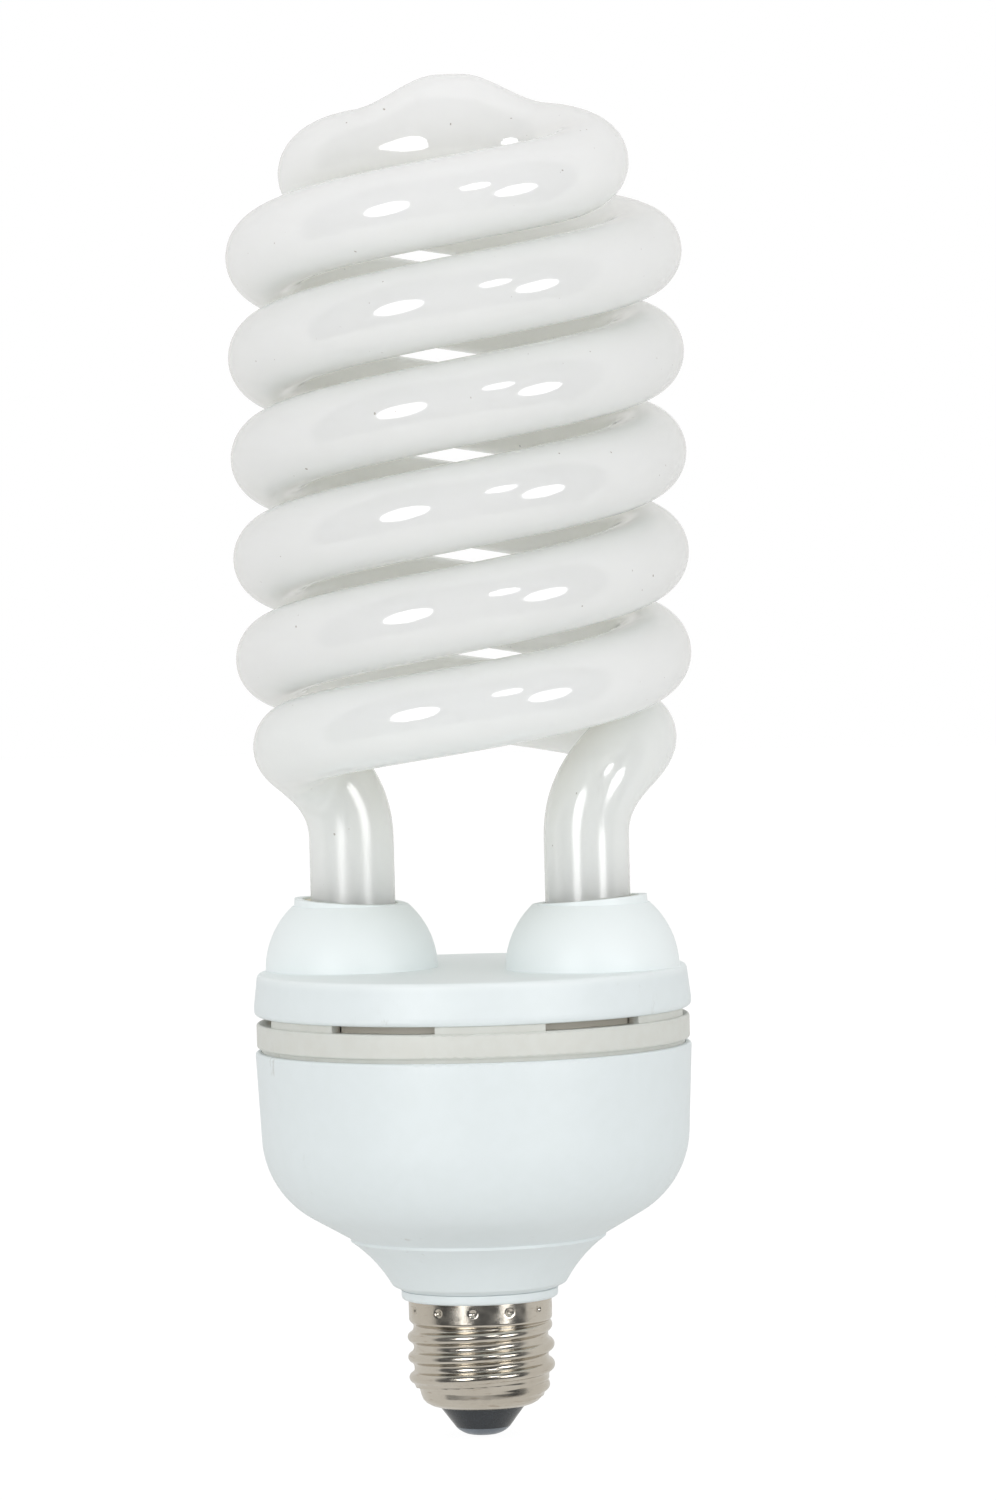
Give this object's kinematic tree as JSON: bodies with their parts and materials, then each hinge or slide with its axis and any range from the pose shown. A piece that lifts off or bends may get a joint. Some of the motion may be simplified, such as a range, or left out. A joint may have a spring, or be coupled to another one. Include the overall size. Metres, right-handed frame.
{
  "type": "light bulb",
  "caption": "Large spiral compact fluorescent lamp with double-helix milky glass tube, white ballast housing and E26 screw cap.",
  "frame": {"origin": "tip of the centre contact, on the lamp's axis", "axes": "+Z along the lamp's axis from the cap to the top of the glass, +X through one leg of the glass, +Y completes the frame"},
  "size_m": [0.0812, 0.0812, 0.2432],
  "materials": {
    "milky_glass": "glossy, milky phosphor coating behind clear glass",
    "cement": "matt, warm white adhesive",
    "white_plastic": "satin, cool white",
    "ring_plastic": "satin, slightly warmer white",
    "cap_metal": "rolled nickel-plated sheet",
    "black_glass": "glossy black glass",
    "contact_metal": "dull soldered metal",
    "board": "pressed paper board",
    "capacitor_sleeve": "dark shrink sleeve",
    "ferrite": "dark grey ferrite",
    "bobbin_plastic": "black moulding",
    "copper": "enamelled copper wire",
    "black_plastic": "moulded black epoxy",
    "film_capacitor": "dipped red-brown film capacitor",
    "resistor_body": "grey-green lacquer",
    "diode_glass": "amber glass",
    "thermistor_body": "dark green lacquer",
    "tinned_wire": "tinned wire",
    "wire_insulation": "white sleeving"
  },
  "bodies": {
    "root": {"ballast_housing": "white_plastic", "blocking_capacitor": "film_capacitor", "bulk_capacitor": "capacitor_sleeve", "cap_insulator": "black_glass", "centre_contact": "contact_metal", "centre_lead": "tinned_wire", "choke_bobbin": "bobbin_plastic", "choke_core_lower": "ferrite", "choke_core_upper": "ferrite", "choke_winding": "copper", "circuit_board": "board", "discharge_tube": "milky_glass", "drive_transformer_core": "ferrite", "drive_transformer_windings": "copper", "filament_leads": "tinned_wire", "filter_inductor_core": "ferrite", "filter_inductor_winding": "copper", "fusible_resistor": "resistor_body", "live_lead": "wire_insulation", "power_transistors": "black_plastic", "ptc_thermistor": "thermistor_body", "rectifier_diodes": "black_plastic", "resistors": "resistor_body", "resonant_capacitor": "film_capacitor", "screw_shell": "cap_metal", "shell_lead": "tinned_wire", "trigger_diode": "diode_glass", "tube_cement_left": "cement", "tube_cement_right": "cement", "tube_cover": "white_plastic", "vent_ring": "ring_plastic", "wrap_pins": "tinned_wire"}
  },
  "joints": []
}
